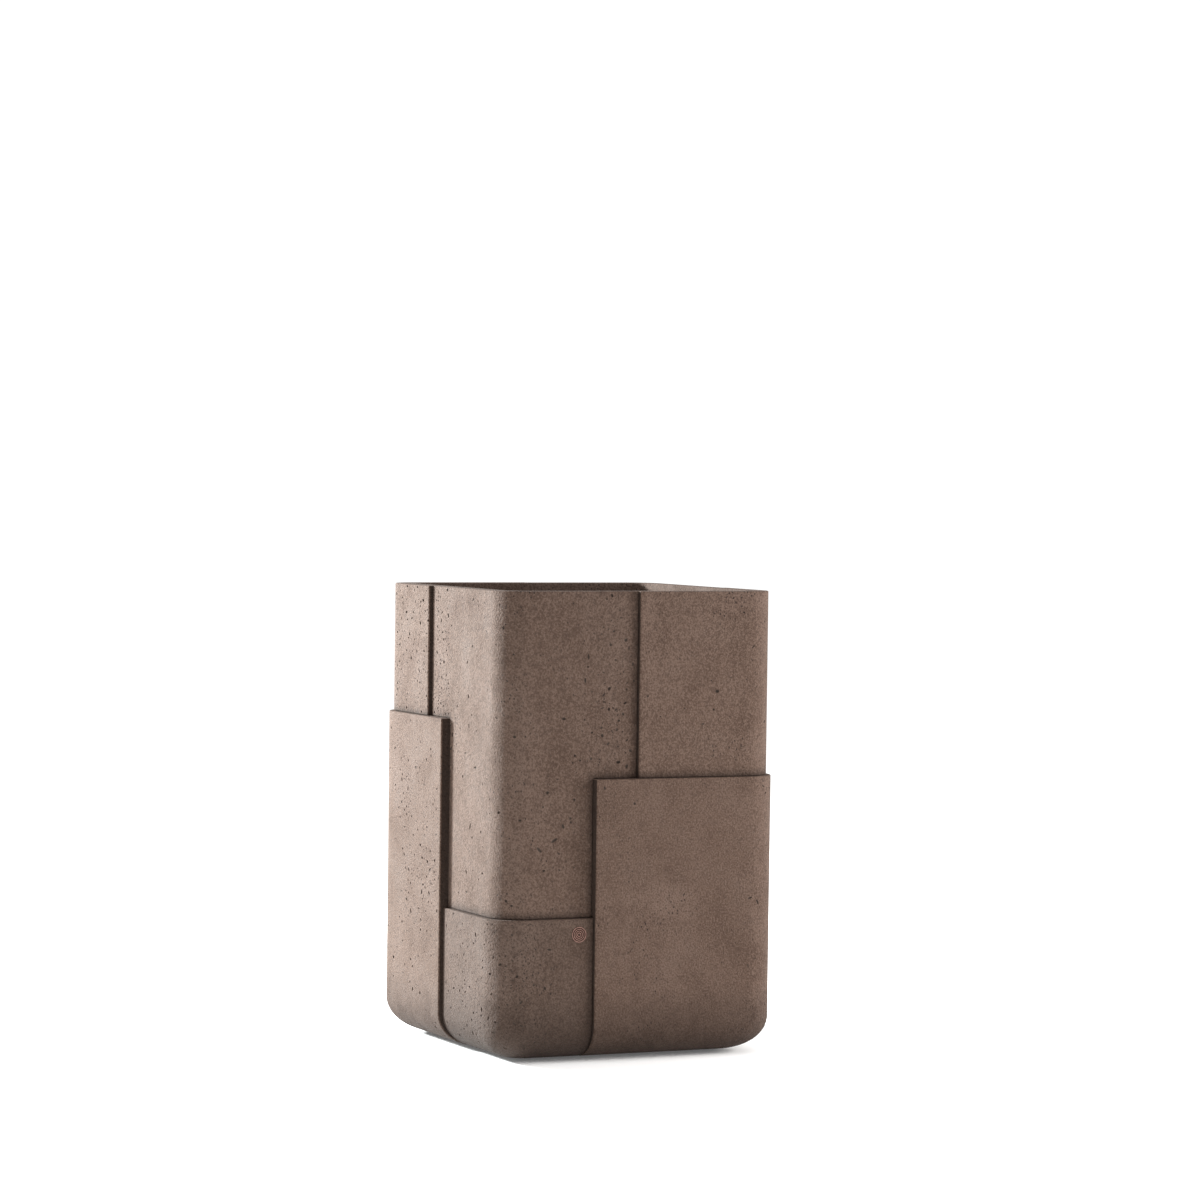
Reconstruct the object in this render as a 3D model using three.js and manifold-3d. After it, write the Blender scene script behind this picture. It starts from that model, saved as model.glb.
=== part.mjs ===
// Tall square street planter: a cast concrete tub clad with eight lapped concrete slabs,
// a lift-out plastic liner, and the drainage, lifting and bearing fittings that go with it.
// Millimetres, +Z up, the ground at z = 0 and the front face towards -Y.

import * as THREE from 'three';
import { mergeVertices } from 'three/addons/utils/BufferGeometryUtils.js';
import Module from 'manifold-3d';

const wasm = await Module();
wasm.setup();

// ---------------------------------------------------------------- driving dimensions

const HEIGHT = 890;
const PLAN = 600; // across the proudest slabs
const LAP = 9; // how far each slab level stands proud of the one below it
const GAP = 0.3; // bed between pieces that touch
const GROUND_GAP = 5; // the rubber pads hold the concrete this far off the ground
const CUT = 1; // how far a cutting solid runs past the face it cuts

const FACE_HALF = PLAN / 2 - 2 * LAP; // half width across the deepest slab faces
const CORNER_R = 56; // upright corners of the deepest slab level
const BOTTOM_R = 66; // rounding under the walls
const FLAT_HALF = FACE_HALF - BOTTOM_R; // half width of the flat underside
const FLAT_CORNER_R = 24;
const VENEER = 13; // slab thickness at the deepest level

const CORE_HALF = FACE_HALF - VENEER;
const PLINTH_INSET = 12; // from the edge of the flat underside to the core's plinth
const PLINTH_HALF = FLAT_HALF - PLINTH_INSET;
const CORE_WALL = 30;
const CAVITY_HALF = CORE_HALF - CORE_WALL;
const CAVITY_CORNER_R = 24;
const CAVITY_FILLET = 30;
const FLOOR_TOP = 78;
const LEDGE_DEPTH = 30; // from the rim down to the step that carries the liner
const LEDGE_WIDTH = 12;
const LEDGE_Z = HEIGHT - LEDGE_DEPTH;
const REBATE_HALF = CAVITY_HALF + LEDGE_WIDTH;
const REBATE_CORNER_R = 32;

// Each corner of the planter has an upper and a lower slab that wrap round it. The lower slab
// is one level prouder than the upper one. A split is where a slab ends on a neighbouring face:
// x on the front and back faces, y on the left and right faces.
const CORNERS = [
  {
    name: 'front_left',
    side: [-1, -1],
    upperLevel: 0,
    lowerTop: 274,
    upperSplit: [-3, 64],
    lowerSplit: [-93, -28],
  },
  {
    name: 'front_right',
    side: [1, -1],
    upperLevel: 1,
    lowerTop: 536,
    upperSplit: [-3, -62],
    lowerSplit: [-93, 34],
  },
  {
    name: 'back_right',
    side: [1, 1],
    upperLevel: 0,
    lowerTop: 372,
    upperSplit: [8, -62],
    lowerSplit: [88, 34],
  },
  {
    name: 'back_left',
    side: [-1, 1],
    upperLevel: 1,
    lowerTop: 638,
    upperSplit: [8, 64],
    lowerSplit: [88, -28],
  },
];

const BADGE_R = 15;
const BADGE_DEPTH = 2; // how far the disc is let into the slab
const BADGE_PROUD = 1;
const BADGE_RIM = 3;
const BADGE_DISH = 0.8; // depth of the shallow dish inside the disc's rim
const BADGE_INSET = 30; // from the slab's top and side edges to the disc's centre

const DRAIN_R = 32;
const PAD_R = 36;
const PAD_RECESS = 4;
const PAD_OFFSET = 150;
const SOCKET_R = 14;
const SOCKET_LENGTH = 22;
const SOCKET_Z = 815;

const LINER_BASE_Z = 430;
const LINER_FLOOR = 5;
const LINER_WALL = 4;
const LINER_TOP_HALF = 234;
const LINER_BASE_HALF = 221;
const LINER_CORNER_R = 38;
const LINER_FOOT_R = 8; // rounding of the liner's bottom edge
const FLANGE_CLEARANCE = 2;
const FLANGE_HALF = REBATE_HALF - FLANGE_CLEARANCE;
const FLANGE_CORNER_R = REBATE_CORNER_R - FLANGE_CLEARANCE;
const FLANGE_THICK = 6;
const FLANGE_CHAMFER = 1.5;
const FLANGE_Z = LEDGE_Z + GAP;
const FLANGE_TOP = FLANGE_Z + FLANGE_THICK;
const LINER_FLOOR_TOP = LINER_BASE_Z + LINER_FLOOR;

// The liner's floor has a three by three grid of pegs at the corners and drain holes between.
const PEG_SPACING = 128;
const PEG_R = 11;
const PEG_FOOT_R = 14;
const PEG_HEIGHT = 34;
const LINER_HOLE_R = 4;

// The plate's holes stand between the liner's, so that no soil falls straight through.
const PLATE_HALF = 209;
const PLATE_THICK = 5;
const PLATE_CORNER_R = 32;
const PLATE_HOLE_SPACING = 64;
const PLATE_HOLE_R = 6;
const FINGER_HOLE_R = 15;

const HINGE_X = 221; // handle pivot, from the planter's middle
const HINGE_Z = 838;
const ROD_R = 3;
const HANDLE_HALF_WIDTH = 58;
const HANDLE_DROP = 62;
const HANDLE_BEND = 14;
const PIVOT_BEND = 2 * ROD_R;
const BRACKET_THICK = 12;
const BRACKET_Y = HANDLE_HALF_WIDTH + PIVOT_BEND + ROD_R + BRACKET_THICK / 2;
const BRACKET_HALF_HEIGHT = 13;
const BRACKET_NOSE_R = 7;
const PIN_OVERHANG = 3; // handle end showing past its bracket

// ---------------------------------------------------------------- materials

function finish(colour, roughness, metalness = 0) {
  return () => new THREE.MeshStandardMaterial({ color: colour, roughness, metalness });
}

const slabConcrete = finish(0x8a776b, 0.9);
const coreConcrete = finish(0x7d6c61, 0.92);
const linerPlastic = finish(0x34373a, 0.6);
const drainPlastic = finish(0x55585a, 0.6);
const capPlastic = finish(0x8d8f90, 0.55);
const stainlessSteel = finish(0xb8bbbd, 0.35, 1);
const socketSteel = finish(0x9a9c9b, 0.5, 1);
const padRubber = finish(0x1b1b1b, 0.9);
const badgeMetal = finish(0xb08070, 0.45, 1);

// ---------------------------------------------------------------- solids

function toSolid(geometry) {
  const bare = geometry.index ? geometry.toNonIndexed() : geometry.clone();
  bare.deleteAttribute('normal');
  bare.deleteAttribute('uv');
  const welded = mergeVertices(bare, 1e-4);
  const mesh = new wasm.Mesh({
    numProp: 3,
    vertProperties: new Float32Array(welded.attributes.position.array),
    triVerts: new Uint32Array(welded.index.array),
  });
  return new wasm.Manifold(mesh);
}

function toGeometry(solid) {
  const mesh = solid.getMesh();
  const geometry = new THREE.BufferGeometry();
  geometry.setAttribute('position', new THREE.BufferAttribute(mesh.vertProperties, 3));
  geometry.setIndex(new THREE.BufferAttribute(mesh.triVerts, 1));
  return geometry;
}

function cutAll(solid, cutters) {
  return cutters.reduce((rest, cutter) => rest.subtract(cutter), solid);
}

function box(low, high) {
  const size = high.map((value, axis) => value - low[axis]);
  const geometry = new THREE.BoxGeometry(...size);
  geometry.translate(...high.map((value, axis) => (value + low[axis]) / 2));
  return toSolid(geometry);
}

// Upright cylinder or cone between two heights.
function post(x, y, zLow, zHigh, radius, topRadius = radius, segments = 24) {
  const geometry = new THREE.CylinderGeometry(topRadius, radius, zHigh - zLow, segments);
  geometry.rotateX(Math.PI / 2);
  geometry.translate(x, y, (zLow + zHigh) / 2);
  return toSolid(geometry);
}

// Points round a square with rounded corners, anticlockwise from above.
function roundedSquare(half, cornerR, arcSteps) {
  const centre = half - cornerR;
  const points = [];
  for (let quarter = 0; quarter < 4; quarter += 1) {
    const start = (quarter * Math.PI) / 2;
    const middle = start + Math.PI / 4;
    const centreX = centre * Math.sign(Math.cos(middle));
    const centreY = centre * Math.sign(Math.sin(middle));
    for (let step = 0; step <= arcSteps; step += 1) {
      const angle = start + ((Math.PI / 2) * step) / arcSteps;
      const x = centreX + cornerR * Math.cos(angle);
      const y = centreY + cornerR * Math.sin(angle);
      points.push([x, y]);
    }
  }
  return points;
}

// Solid through a stack of rounded squares, from the lowest to the highest.
function ringStack(rings, arcSteps = 6) {
  const outlines = rings.map((ring) => roundedSquare(ring.half, ring.r, arcSteps));
  const count = outlines[0].length;
  const positions = [];
  outlines.forEach((outline, level) => {
    outline.forEach(([x, y]) => positions.push(x, y, rings[level].z));
  });
  const bottomCentre = positions.length / 3;
  positions.push(0, 0, rings[0].z);
  const topCentre = bottomCentre + 1;
  positions.push(0, 0, rings[rings.length - 1].z);

  const index = [];
  const lastRing = (rings.length - 1) * count;
  for (let i = 0; i < count; i += 1) {
    const next = (i + 1) % count;
    index.push(bottomCentre, next, i);
    index.push(topCentre, lastRing + i, lastRing + next);
    for (let level = 0; level < rings.length - 1; level += 1) {
      const low = level * count;
      const high = low + count;
      index.push(low + i, low + next, high + next);
      index.push(low + i, high + next, high + i);
    }
  }
  const geometry = new THREE.BufferGeometry();
  geometry.setAttribute('position', new THREE.Float32BufferAttribute(positions, 3));
  geometry.setIndex(index);
  return toSolid(geometry);
}

// Square block with rounded upright corners and a rounded bottom edge.
function tubBlock({ half, cornerR, zBottom, zTop, fillet, flatHalf, flatR, filletSteps = 5 }) {
  const rings = [];
  for (let step = 0; step <= filletSteps; step += 1) {
    const angle = (Math.PI / 2) * (1 - step / filletSteps);
    const reach = Math.cos(angle);
    rings.push({
      z: zBottom + fillet * (1 - Math.sin(angle)),
      half: flatHalf + (half - flatHalf) * reach,
      r: flatR + (cornerR - flatR) * reach,
    });
  }
  rings.push({ z: zTop, half, r: cornerR });
  return ringStack(rings);
}

// ---------------------------------------------------------------- concrete

// Outer face of a slab level. The core's own face lies below level 0.
function levelBlock(standOff, bottomLift = 0) {
  return tubBlock({
    half: FACE_HALF + standOff,
    cornerR: CORNER_R + standOff,
    zBottom: GROUND_GAP + bottomLift,
    zTop: HEIGHT,
    fillet: BOTTOM_R - bottomLift,
    flatHalf: FLAT_HALF,
    flatR: FLAT_CORNER_R,
  });
}

// Column over one quarter of the plan, from a split on each of two faces outwards.
function cornerColumn(corner, split, zLow, zHigh, grow) {
  const reach = PLAN;
  const low = [0, 0, zLow];
  const high = [0, 0, zHigh];
  corner.side.forEach((side, axis) => {
    low[axis] = side < 0 ? -reach : split[axis] - grow;
    high[axis] = side < 0 ? split[axis] + grow : reach;
  });
  return box(low, high);
}

// The block of air that the core fills, with the bed between core and slabs.
function coreEnvelope() {
  const walls = levelBlock(-VENEER + GAP, VENEER - GAP);
  const plinth = ringStack([
    { z: 0, half: PLINTH_HALF + GAP, r: FLAT_CORNER_R },
    { z: FLOOR_TOP, half: PLINTH_HALF + GAP, r: FLAT_CORNER_R },
  ]);
  return walls.add(plinth);
}

function badgeCentre() {
  const corner = CORNERS[0];
  const x = corner.lowerSplit[0] - BADGE_INSET;
  const y = -(FACE_HALF + LAP);
  const z = corner.lowerTop - BADGE_INSET;
  return [x, y, z];
}

// Disc lying flat against the front face, between two depths measured into the slab.
function badgeDisc(radius, fromDepth, toDepth, segments) {
  const [x, y, z] = badgeCentre();
  const geometry = new THREE.CylinderGeometry(radius, radius, toDepth - fromDepth, segments);
  geometry.translate(x, y + (fromDepth + toDepth) / 2, z);
  return toSolid(geometry);
}

function buildSlabs() {
  const envelope = coreEnvelope();
  const lowerColumn = (corner, grow) =>
    cornerColumn(corner, corner.lowerSplit, -CUT, corner.lowerTop + grow, grow);
  const lowerKeepOut = CORNERS.map((corner) => lowerColumn(corner, GAP / 2));
  const slabs = [];

  for (const corner of CORNERS) {
    const lowerBlock = levelBlock((corner.upperLevel + 1) * LAP);
    let lower = lowerBlock.intersect(lowerColumn(corner, -GAP / 2)).subtract(envelope);
    if (corner.name === 'front_left') {
      lower = lower.subtract(badgeDisc(BADGE_R + GAP, -LAP, BADGE_DEPTH + GAP, 32));
    }
    const upperBlock = levelBlock(corner.upperLevel * LAP);
    const upperColumn = cornerColumn(corner, corner.upperSplit, -CUT, HEIGHT + CUT, -GAP / 2);
    const upperShell = upperBlock.intersect(upperColumn).subtract(envelope);
    const upper = cutAll(upperShell, lowerKeepOut);
    slabs.push([`slab_${corner.name}_upper`, upper]);
    slabs.push([`slab_${corner.name}_lower`, lower]);
  }
  return slabs;
}

// Where the four lifting sockets sit: unit directions towards each wall.
const WALLS = [
  { name: 'front', direction: [0, -1] },
  { name: 'right', direction: [1, 0] },
  { name: 'back', direction: [0, 1] },
  { name: 'left', direction: [-1, 0] },
];

const PAD_PLACES = CORNERS.map(({ name, side }) => ({
  name,
  x: side[0] * PAD_OFFSET,
  y: side[1] * PAD_OFFSET,
}));

// Turned piece whose axis runs horizontally out through a wall. The profile is a list of
// [radius, distance outwards from the cavity wall].
function wallTurning(profile, direction, segments = 20) {
  const points = profile.map(([radius, outwards]) => new THREE.Vector2(radius, outwards));
  const geometry = new THREE.LatheGeometry(points, segments);
  const outward = new THREE.Vector3(direction[0], direction[1], 0);
  const turn = new THREE.Quaternion().setFromUnitVectors(new THREE.Vector3(0, 1, 0), outward);
  geometry.applyQuaternion(turn);
  geometry.translate(CAVITY_HALF * outward.x, CAVITY_HALF * outward.y, SOCKET_Z);
  return toSolid(geometry);
}

function buildCore() {
  const body = levelBlock(-VENEER, VENEER).add(
    ringStack([
      { z: GROUND_GAP, half: PLINTH_HALF, r: FLAT_CORNER_R },
      { z: FLOOR_TOP / 2, half: PLINTH_HALF, r: FLAT_CORNER_R },
    ]),
  );
  const cavity = tubBlock({
    half: CAVITY_HALF,
    cornerR: CAVITY_CORNER_R,
    zBottom: FLOOR_TOP,
    zTop: HEIGHT + CUT,
    fillet: CAVITY_FILLET,
    flatHalf: CAVITY_HALF - CAVITY_FILLET,
    flatR: CAVITY_CORNER_R / 2,
    filletSteps: 3,
  });
  const rebate = ringStack([
    { z: LEDGE_Z, half: REBATE_HALF, r: REBATE_CORNER_R },
    { z: HEIGHT + CUT, half: REBATE_HALF, r: REBATE_CORNER_R },
  ]);
  const drain = post(0, 0, 0, FLOOR_TOP + CUT, DRAIN_R, DRAIN_R, 32);
  const padRecesses = PAD_PLACES.map(({ x, y }) =>
    post(x, y, 0, GROUND_GAP + PAD_RECESS, PAD_R + GAP),
  );
  const socketReach = SOCKET_LENGTH + GAP;
  const socketProfile = [
    [0, -CUT],
    [SOCKET_R + GAP, -CUT],
    [SOCKET_R + GAP, socketReach],
    [0, socketReach],
  ];
  const socketHoles = WALLS.map(({ direction }) => wallTurning(socketProfile, direction));
  return cutAll(body, [cavity, rebate, drain, ...padRecesses, ...socketHoles]);
}

function buildBadge() {
  const face = badgeDisc(BADGE_R, -BADGE_PROUD, BADGE_DEPTH, 32);
  const dishR = BADGE_R - BADGE_RIM;
  return face.subtract(badgeDisc(dishR, -BADGE_PROUD - CUT, -BADGE_PROUD + BADGE_DISH, 32));
}

// ---------------------------------------------------------------- drain, pads and sockets

const SLEEVE_BORE_R = 27;
const SLEEVE_FLANGE_R = 44;
const SLEEVE_FLANGE_THICK = 3;
const SLEEVE_FLANGE_TOP = FLOOR_TOP + GAP + SLEEVE_FLANGE_THICK;

function buildDrainSleeve() {
  const tube = post(0, 0, GROUND_GAP + GAP, SLEEVE_FLANGE_TOP, DRAIN_R - GAP, DRAIN_R - GAP, 32);
  const flange = post(0, 0, FLOOR_TOP + GAP, SLEEVE_FLANGE_TOP, SLEEVE_FLANGE_R, SLEEVE_FLANGE_R, 32);
  const bore = post(0, 0, 0, SLEEVE_FLANGE_TOP + CUT, SLEEVE_BORE_R, SLEEVE_BORE_R, 32);
  return tube.add(flange).subtract(bore);
}

// Domed grating over the drain: a shell with radial slots.
function buildDrainStrainer() {
  const base = SLEEVE_FLANGE_TOP + GAP;
  const rimR = 38;
  const domeRise = 15;
  const shell = 3;
  const domeSteps = 6;
  const outer = [];
  const inner = [];
  for (let step = 0; step <= domeSteps; step += 1) {
    const angle = ((Math.PI / 2) * step) / domeSteps;
    outer.push(new THREE.Vector2(rimR * Math.cos(angle), base + shell + domeRise * Math.sin(angle)));
    inner.push(new THREE.Vector2((rimR - shell) * Math.cos(angle), base + domeRise * Math.sin(angle)));
  }
  outer[domeSteps].x = 0;
  inner[domeSteps].x = 0;
  const profile = [...inner.reverse(), new THREE.Vector2(rimR, base), ...outer];
  const geometry = new THREE.LatheGeometry(profile, 32);
  geometry.rotateX(Math.PI / 2);
  const slotCount = 8;
  const slotFrom = 12;
  const slotTo = 28;
  const slotWidth = 5;
  const slots = [];
  for (let slot = 0; slot < slotCount; slot += 1) {
    const blade = new THREE.BoxGeometry(slotTo - slotFrom, slotWidth, 2 * domeRise + 2 * shell);
    blade.translate((slotFrom + slotTo) / 2, 0, base + domeRise);
    blade.rotateZ((2 * Math.PI * slot) / slotCount);
    slots.push(toSolid(blade));
  }
  return cutAll(toSolid(geometry), slots);
}

function buildPad({ x, y }) {
  const top = GROUND_GAP + PAD_RECESS - GAP;
  const chamfer = 1.5;
  const foot = post(x, y, 0, chamfer, PAD_R - chamfer, PAD_R);
  return foot.add(post(x, y, chamfer, top, PAD_R));
}

const SOCKET_BORE_R = 8;
const SOCKET_BORE_DEPTH = 17;

function buildSocket(direction) {
  const face = GAP;
  return wallTurning(
    [
      [0, SOCKET_BORE_DEPTH],
      [SOCKET_BORE_R, SOCKET_BORE_DEPTH],
      [SOCKET_BORE_R, face],
      [SOCKET_R, face],
      [SOCKET_R, SOCKET_LENGTH],
      [0, SOCKET_LENGTH],
    ],
    direction,
  );
}

function buildSocketCap(direction) {
  const headR = 13;
  const headThick = 2;
  const stemR = SOCKET_BORE_R - GAP;
  const stemLength = 10;
  const chamfer = 0.8;
  return wallTurning(
    [
      [0, -headThick],
      [headR - chamfer, -headThick],
      [headR, -headThick + chamfer],
      [headR, 0],
      [stemR, 0],
      [stemR, stemLength],
      [0, stemLength],
    ],
    direction,
  );
}

// ---------------------------------------------------------------- liner

function gridPlaces(count, spacing) {
  const middle = (count - 1) / 2;
  const places = [];
  for (let row = 0; row < count; row += 1) {
    for (let column = 0; column < count; column += 1) {
      places.push([(column - middle) * spacing, (row - middle) * spacing]);
    }
  }
  return places;
}

// Plan of the floor's grid: pegs at its corners, drain holes at its other places.
const LINER_GRID = gridPlaces(3, PEG_SPACING);
const PEG_PLACES = LINER_GRID.filter(([x, y]) => x * y !== 0);
const DRAIN_PLACES = LINER_GRID.filter(([x, y]) => x * y === 0);

function linerShell(inset, zLow, zHigh) {
  const footRing = (share) => ({
    z: zLow + LINER_FOOT_R * (1 - share) ** 2,
    half: LINER_BASE_HALF - inset - LINER_FOOT_R * share ** 2,
    r: LINER_CORNER_R - LINER_FOOT_R * share ** 2,
  });
  return ringStack([
    footRing(1),
    footRing(0.5),
    footRing(0),
    { z: zHigh, half: LINER_TOP_HALF - inset, r: LINER_CORNER_R },
  ]);
}

// Half width between the liner's inner walls, which lean out towards the top.
function linerInside(z) {
  const zLow = LINER_FLOOR_TOP + LINER_FOOT_R;
  const share = (z - zLow) / (FLANGE_TOP + CUT - zLow);
  return LINER_BASE_HALF - LINER_WALL + (LINER_TOP_HALF - LINER_BASE_HALF) * share;
}

function buildLiner() {
  const outside = linerShell(0, LINER_BASE_Z, FLANGE_Z + CUT);
  const flangeRing = (z, inset) => ({ z, half: FLANGE_HALF - inset, r: FLANGE_CORNER_R - inset });
  const flange = ringStack([
    flangeRing(FLANGE_Z, 0),
    flangeRing(FLANGE_TOP - FLANGE_CHAMFER, 0),
    flangeRing(FLANGE_TOP, FLANGE_CHAMFER),
  ]);
  const inside = linerShell(LINER_WALL, LINER_FLOOR_TOP, FLANGE_TOP + CUT);
  let liner = outside.add(flange).subtract(inside);
  for (const [x, y] of PEG_PLACES) {
    const top = LINER_FLOOR_TOP + PEG_HEIGHT;
    liner = liner.add(post(x, y, LINER_FLOOR_TOP - CUT, top, PEG_FOOT_R, PEG_R, 16));
  }
  const holes = DRAIN_PLACES.map(([x, y]) =>
    post(x, y, LINER_BASE_Z - CUT, LINER_FLOOR_TOP + CUT, LINER_HOLE_R, LINER_HOLE_R, 12),
  );
  return cutAll(liner, holes);
}

function buildDrainagePlate() {
  const zLow = LINER_FLOOR_TOP + PEG_HEIGHT + GAP;
  const zHigh = zLow + PLATE_THICK;
  const sheet = ringStack([
    { z: zLow, half: PLATE_HALF, r: PLATE_CORNER_R },
    { z: zHigh, half: PLATE_HALF, r: PLATE_CORNER_R },
  ]);
  const hole = (x, y, radius, segments) =>
    post(x, y, zLow - CUT, zHigh + CUT, radius, radius, segments);
  const holes = gridPlaces(6, PLATE_HOLE_SPACING).map(([x, y]) => hole(x, y, PLATE_HOLE_R, 10));
  for (const side of [-1, 1]) {
    holes.push(hole(side * PLATE_HOLE_SPACING, 0, FINGER_HOLE_R, 24));
  }
  return cutAll(sheet, holes);
}

// Wire bail hanging from its two pivot ends, on the wall that sideX names.
function buildHandle(sideX) {
  const x = sideX * HINGE_X;
  const pinEnd = BRACKET_Y + BRACKET_THICK / 2 + PIN_OVERHANG;
  const low = HINGE_Z - HANDLE_DROP;
  const at = (y, z) => new THREE.Vector3(x, y, z);
  const corners = [
    at(-pinEnd, HINGE_Z),
    at(-HANDLE_HALF_WIDTH, HINGE_Z),
    at(-HANDLE_HALF_WIDTH, low),
    at(HANDLE_HALF_WIDTH, low),
    at(HANDLE_HALF_WIDTH, HINGE_Z),
    at(pinEnd, HINGE_Z),
  ];
  const bends = [PIVOT_BEND, HANDLE_BEND, HANDLE_BEND, PIVOT_BEND];
  const route = new THREE.CurvePath();
  let from = corners[0];
  bends.forEach((bend, i) => {
    const corner = corners[i + 1];
    const towards = (other) => other.clone().sub(corner).setLength(bend).add(corner);
    const enter = towards(corners[i]);
    const leave = towards(corners[i + 2]);
    route.add(new THREE.LineCurve3(from, enter));
    route.add(new THREE.QuadraticBezierCurve3(enter, corner, leave));
    from = leave;
  });
  route.add(new THREE.LineCurve3(from, corners[corners.length - 1]));

  const section = new THREE.Shape();
  section.absarc(0, 0, ROD_R, 0, 2 * Math.PI);
  const geometry = new THREE.ExtrudeGeometry(section, {
    steps: 50,
    curveSegments: 4,
    extrudePath: route,
  });
  return toSolid(geometry);
}

// Plastic lug on the liner wall, with an eye for the handle's pivot end.
function buildHandleBracket(sideX, sideY) {
  const low = HINGE_Z - BRACKET_HALF_HEIGHT;
  const high = HINGE_Z + BRACKET_HALF_HEIGHT;
  const outline = new THREE.Shape();
  outline.moveTo(linerInside(low) - GAP, low);
  outline.lineTo(linerInside(high) - GAP, high);
  outline.lineTo(HINGE_X, HINGE_Z + BRACKET_NOSE_R);
  outline.absarc(HINGE_X, HINGE_Z, BRACKET_NOSE_R, Math.PI / 2, (3 * Math.PI) / 2, false);
  outline.lineTo(linerInside(low) - GAP, low);
  const eye = new THREE.Path();
  eye.absarc(HINGE_X, HINGE_Z, ROD_R + GAP, 0, 2 * Math.PI, true);
  outline.holes.push(eye);
  const geometry = new THREE.ExtrudeGeometry(outline, {
    depth: BRACKET_THICK,
    bevelEnabled: false,
    curveSegments: 8,
  });
  geometry.rotateX(Math.PI / 2);
  geometry.translate(0, BRACKET_THICK / 2 + sideY * BRACKET_Y, 0);
  const rightHand = toSolid(geometry);
  return sideX < 0 ? rightHand.mirror([1, 0, 0]) : rightHand;
}

// ---------------------------------------------------------------- assembly

const planter = new THREE.Group();

function addPiece(name, solid, material) {
  const mesh = new THREE.Mesh(toGeometry(solid), material());
  mesh.name = name;
  planter.add(mesh);
}

addPiece('core_tub', buildCore(), coreConcrete);
for (const [name, solid] of buildSlabs()) {
  addPiece(name, solid, slabConcrete);
}
addPiece('badge_disc', buildBadge(), badgeMetal);
addPiece('drain_sleeve', buildDrainSleeve(), drainPlastic);
addPiece('drain_strainer', buildDrainStrainer(), drainPlastic);
for (const place of PAD_PLACES) {
  addPiece(`base_pad_${place.name}`, buildPad(place), padRubber);
}
for (const { name, direction } of WALLS) {
  addPiece(`lifting_socket_${name}`, buildSocket(direction), socketSteel);
  addPiece(`socket_cap_${name}`, buildSocketCap(direction), capPlastic);
}
addPiece('liner', buildLiner(), linerPlastic);
addPiece('drainage_plate', buildDrainagePlate(), drainPlastic);
for (const [sideName, sideX] of [['left', -1], ['right', 1]]) {
  addPiece(`liner_handle_${sideName}`, buildHandle(sideX), stainlessSteel);
  for (const [endName, sideY] of [['front', -1], ['back', 1]]) {
    const name = `handle_bracket_${sideName}_${endName}`;
    addPiece(name, buildHandleBracket(sideX, sideY), linerPlastic);
  }
}

export default planter;
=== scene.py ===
import math
import random

import bmesh
import bpy
import numpy as np
from mathutils import Matrix, Vector


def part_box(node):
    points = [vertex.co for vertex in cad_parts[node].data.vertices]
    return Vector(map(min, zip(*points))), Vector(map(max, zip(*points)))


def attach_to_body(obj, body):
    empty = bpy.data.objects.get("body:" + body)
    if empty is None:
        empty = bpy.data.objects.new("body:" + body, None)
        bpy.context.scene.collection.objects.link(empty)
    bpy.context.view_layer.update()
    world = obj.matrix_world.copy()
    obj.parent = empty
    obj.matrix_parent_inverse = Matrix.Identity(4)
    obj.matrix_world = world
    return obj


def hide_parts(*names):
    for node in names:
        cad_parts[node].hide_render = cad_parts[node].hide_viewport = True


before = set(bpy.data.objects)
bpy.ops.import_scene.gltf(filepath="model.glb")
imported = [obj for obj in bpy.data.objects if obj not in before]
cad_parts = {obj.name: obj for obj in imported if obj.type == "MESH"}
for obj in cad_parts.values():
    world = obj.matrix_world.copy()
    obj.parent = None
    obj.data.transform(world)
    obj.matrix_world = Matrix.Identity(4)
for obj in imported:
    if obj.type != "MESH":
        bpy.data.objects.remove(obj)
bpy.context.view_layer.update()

MM = 0.001
scene = bpy.context.scene

# ---------- dimensions of the frame

CORNERS = {
    "front_left": (-1, -1),
    "front_right": (1, -1),
    "back_right": (1, 1),
    "back_left": (-1, 1),
}
CORNER_AT = {side: corner for corner, side in CORNERS.items()}
TIERS = ("upper", "lower")
WALLS = {"front": (0, -1), "right": (1, 0), "back": (0, 1), "left": (-1, 0)}

core_low, core_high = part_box("core_tub")
RIM_Z = core_high.z
PLINTH_Z = core_low.z
FACE_HALF = -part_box("slab_front_left_upper")[0].x  # half width over the deepest slabs
LAP = -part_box("slab_front_left_lower")[0].x - FACE_HALF  # one level of the relief
BED = 0.3 * MM  # gap round a bedded or fitted piece
VENEER = FACE_HALF - core_high.x
CORNER_R = 56 * MM
BOTTOM_R = 66 * MM
FLAT_HALF = FACE_HALF - BOTTOM_R
FLAT_CORNER_R = 24 * MM
PLINTH_HALF = FLAT_HALF - 12 * MM
ARC_CENTRE = FACE_HALF - CORNER_R
FLAT_CENTRE = FLAT_HALF - FLAT_CORNER_R
ARRIS_R = 2.2 * MM
WALL_FOOT_Z = PLINTH_Z + BOTTOM_R

# Relief level of the upper and the lower slab at each corner. Level 0 is the deepest.
LEVELS = {
    "front_left": (0, 1),
    "front_right": (1, 2),
    "back_right": (0, 1),
    "back_left": (1, 2),
}

# ---------- mesh helpers

CREASE = math.radians(35)
ARC_STEPS = 10
SIDE_STEPS = 8
FLAT_RIM = 2 * MM
OVERSHOOT = 1 * MM  # how far a cutter or a joined post passes the surface it meets


def soften(obj):
    """Smooth shading, except across edges sharper than CREASE."""
    obj.data.shade_smooth()
    obj.data.set_sharp_from_angle(angle=CREASE)


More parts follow.
